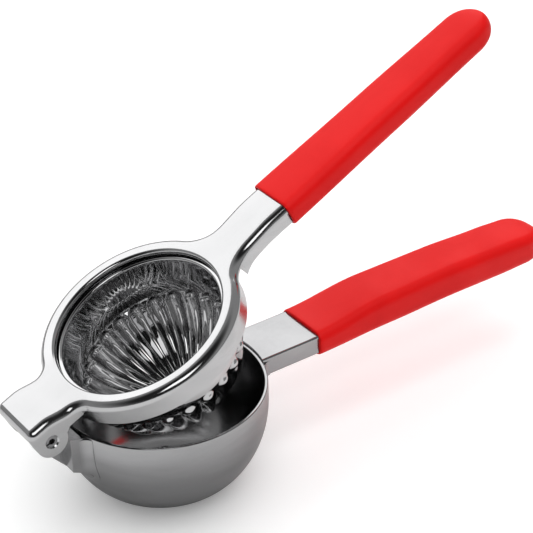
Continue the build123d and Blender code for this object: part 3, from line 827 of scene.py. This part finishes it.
def weldPath(halfWide, top, high):
    # (across, height) points down one side, along the underside and up the other side
    corner, sideSteps = weldSpec["corner"], weldSpec["sideSteps"]
    foot = top - high
    half = [(-halfWide, top - high * k / sideSteps) for k in range(sideSteps)]
    half += [(-halfWide + inset, foot + drop) for inset, drop in rolled(corner, weldSpec["cornerSteps"])]
    underside = straight((-halfWide + corner, foot), (halfWide - corner, foot), weldSpec["footSteps"])[:-1]
    return half + underside + [(-a, z) for a, z in half][::-1]


def makeWeld(name, cadNode, spec):
    size, sink, steps = weldSpec["size"], weldSpec["sink"], weldSpec["steps"]
    sign, high = spec["sign"], spec["high"]
    top = rimHeight / mm - spec["belowRim"]
    halfWide = localBox(cadNode, Matrix.Identity(4))[1].y
    places = [bowlSurface(across, z, sign) for across, z in weldPath(halfWide, top, high)]
    rings = []
    for k, (place, outward) in enumerate(places):
        before, after = places[max(k - 1, 0)][0], places[min(k + 1, len(places) - 1)][0]
        along = (after - before).normalized()
        away = along.cross(outward).normalized()
        middle = Vector((place.x, 0, top - high / 2))
        if away.dot(place - middle) < 0:
            away = -away
        low = min(max((top - place.z) / high * 8 - 7, 0), 1)   # 1 along the underside
        stretch = Vector((sign, 0, 0)).lerp(Vector(spec["under"]), low).normalized()
        ring = [place + away * size * (1 - math.sin(t)) + stretch * size * (1 - math.cos(t))
                for t in [math.pi / 2 * s / steps for s in range(steps + 1)]]
        ring.append(place - away * sink + stretch * size)
        ring.append(place - away * sink - outward * sink)
        ring.append(place + away * size - outward * sink)
        rings.append(ring)
    mesh = tubeMesh(name, rings, Matrix.Identity(4))
    finishedPiece(name, mesh, "lower_arm", "polished_steel", (), 40, "shadedBowlSteel")


makeWeld("barWeld", "handle_bar", barWeldSpec)
makeWeld("blockWeld", "hinge_block", blockWeldSpec)

# ---- floor, lights and camera

stageSpec = {
    "floorSize": 6.0, "floorDrop": 0.0002, "floorTone": (0.93, 0.93, 0.93),
    "paperFleck": 0.985, "paperScale": 40, "paperGlow": 0.22,
    # next line: paper finish, then the painted shade that darkens the floor's reflection in the steel near
    # the bowl and the distances over which it fades
    "paperRough": 0.8, "paperSpecular": 0.2, "paintedShadeNear": 0.58, "nearFrom": 0.045, "nearTo": 0.1,
    "worldLight": 0.34, "worldDark": 0.02, "worldSeen": 1.0,
    "darkToward": (-0.40, -0.52, 0.75), "darkFrom": 0.40, "darkTo": 0.85,
}


def rangeNode(tree, value, fromSpan, toSpan, place):
    made = node(tree, "ShaderNodeMapRange", place, interpolation_type="SMOOTHSTEP")
    for name, end in zip(("From Min", "From Max", "To Min", "To Max"), (*fromSpan, *toSpan)):
        made.inputs[name].default_value = end
    tree.links.new(value, made.inputs["Value"])
    return made.outputs["Result"]


def floorMaterial(spec):
    made = bpy.data.materials.new("floorPaper")
    made.use_nodes = True
    tree = made.node_tree
    shader = tree.nodes["Principled BSDF"]
    link = tree.links.new
    paper = node(tree, "ShaderNodeTexNoise", (-600, 0))
    paper.inputs["Scale"].default_value = spec["paperScale"]
    tint = node(tree, "ShaderNodeMix", (-300, 0), data_type="RGBA")
    tint.inputs[6].default_value = (*spec["floorTone"], 1)
    tint.inputs[7].default_value = (*[t * spec["paperFleck"] for t in spec["floorTone"]], 1)
    link(paper.outputs["Fac"], tint.inputs[0])
    # painted shade: close to the bowl the floor darkens in glossy rays only, so the steel shows a painted
    # dark reflection; and the paper itself glows a little
    around = node(tree, "ShaderNodeTexCoord", (-1100, -300))
    away = node(tree, "ShaderNodeVectorMath", (-900, -300), operation="LENGTH")
    ray = node(tree, "ShaderNodeLightPath", (-700, -600))
    link(around.outputs["Object"], away.inputs[0])
    close = rangeNode(tree, away.outputs["Value"], (spec["nearFrom"], spec["nearTo"]),
                      (1 - spec["paintedShadeNear"], 0), (-700, -300))
    paintedShadeMask = mathNode(tree, "MULTIPLY", close, ray.outputs["Is Glossy Ray"], (-450, -300))
    shade = node(tree, "ShaderNodeMix", (-150, 0), data_type="RGBA")
    shade.inputs[7].default_value = (0, 0, 0, 1)
    link(paintedShadeMask, shade.inputs[0])
    link(tint.outputs[2], shade.inputs[6])
    link(shade.outputs[2], shader.inputs["Base Color"])
    glow = mathNode(tree, "MULTIPLY", ray.outputs["Is Camera Ray"], spec["paperGlow"], (-450, -500))
    link(glow, shader.inputs["Emission Strength"])
    shader.inputs["Emission Color"].default_value = (1, 1, 1, 1)
    shader.inputs["Roughness"].default_value = spec["paperRough"]
    shader.inputs["Specular IOR Level"].default_value = spec["paperSpecular"]
    return made


def makeFloor(spec):
    half = spec["floorSize"] / 2
    mesh = bpy.data.meshes.new("floor")
    corners = [(-half, -half, 0), (half, -half, 0), (half, half, 0), (-half, half, 0)]
    mesh.from_pydata(corners, [], [(0, 1, 2, 3)])
    mesh.materials.append(floorMaterial(spec))
    floor = bpy.data.objects.new("floor", mesh)
    bpy.context.scene.collection.objects.link(floor)
    floor.location.z = cadBox[0].z - spec["floorDrop"]


def makeWorld(spec):
    world = bpy.data.worlds.new("studio")
    bpy.context.scene.world = world
    world.use_nodes = True
    tree = world.node_tree
    background = tree.nodes["Background"]
    coords = node(tree, "ShaderNodeTexCoord", (-900, 0))
    toward = node(tree, "ShaderNodeVectorMath", (-700, 0), operation="DOT_PRODUCT")
    toward.inputs[1].default_value = Vector(spec["darkToward"]).normalized()
    tree.links.new(coords.outputs["Generated"], toward.inputs[0])
    span = rangeNode(tree, toward.outputs["Value"], (spec["darkFrom"], spec["darkTo"]),
                     (spec["worldLight"], spec["worldDark"]), (-450, 0))
    # a low camera looks past the floor, so the world it sees directly is as light as the floor
    path = node(tree, "ShaderNodeLightPath", (-450, 260))
    seen = node(tree, "ShaderNodeMix", (-220, 0), data_type="FLOAT")
    seen.inputs["B"].default_value = spec["worldSeen"]
    tree.links.new(path.outputs["Is Camera Ray"], seen.inputs["Factor"])
    tree.links.new(span, seen.inputs["A"])
    tree.links.new(seen.outputs["Result"], background.inputs["Strength"])
    background.inputs["Color"].default_value = (1, 1, 1, 1)


makeFloor(stageSpec)
makeWorld(stageSpec)

lightSpec = {
    # place, point it looks at, width, height, brightness of its face, whether steel mirrors it
    "backBox": ((0.35, 1.25, 1.05), (0.03, 0, 0.05), 2.2, 0.95, 1.45, True),
    "cameraBox": ((-0.55, -0.85, 1.05), (0.0, 0, 0.05), 0.75, 0.6, 2.1, True),
    "skyFill": ((0.1, -0.3, 1.9), (0.05, 0, 0.0), 2.4, 2.4, 1.95, False),
}
for name, (place, target, wide, tall, bright, mirrored) in lightSpec.items():
    light = bpy.data.lights.new(name, "AREA")
    light.shape = "RECTANGLE"
    light.size, light.size_y = wide, tall
    light.energy = bright * math.pi * wide * tall
    lamp = bpy.data.objects.new(name, light)
    bpy.context.scene.collection.objects.link(lamp)
    lamp.location = place
    lamp.visible_glossy = mirrored
    lamp.rotation_euler = (Vector(target) - Vector(place)).to_track_quat("-Z", "Y").to_euler()

# place in metres, then degrees: from +Y towards +X, below level, and about the view
cameraSpec = {
    "place": (-0.2691, -0.4741, 0.4204), "bearing": 33.64, "below": 31.56, "roll": -2.2, "lens": 128.3,
}


def makeCamera(spec):
    bearing, below, roll = (math.radians(spec[key]) for key in ("bearing", "below", "roll"))
    level = math.cos(below)
    ahead = Vector((math.sin(bearing) * level, math.cos(bearing) * level, -math.sin(below)))
    levelRight = Vector((math.cos(bearing), -math.sin(bearing), 0))
    levelUp = levelRight.cross(ahead)
    right = levelRight * math.cos(roll) + levelUp * math.sin(roll)
    up = right.cross(ahead)
    camera = bpy.data.objects.new("camera", bpy.data.cameras.new("camera"))
    bpy.context.scene.collection.objects.link(camera)
    camera.data.sensor_width = 36
    camera.data.lens = spec["lens"]
    camera.data.clip_start, camera.data.clip_end = 0.01, 20
    turn = Matrix((right, up, -ahead)).transposed().to_4x4()
    camera.matrix_world = Matrix.Translation(spec["place"]) @ turn
    bpy.context.scene.camera = camera


makeCamera(cameraSpec)
bpy.context.scene.view_settings.view_transform = "Standard"
print("stage ready")
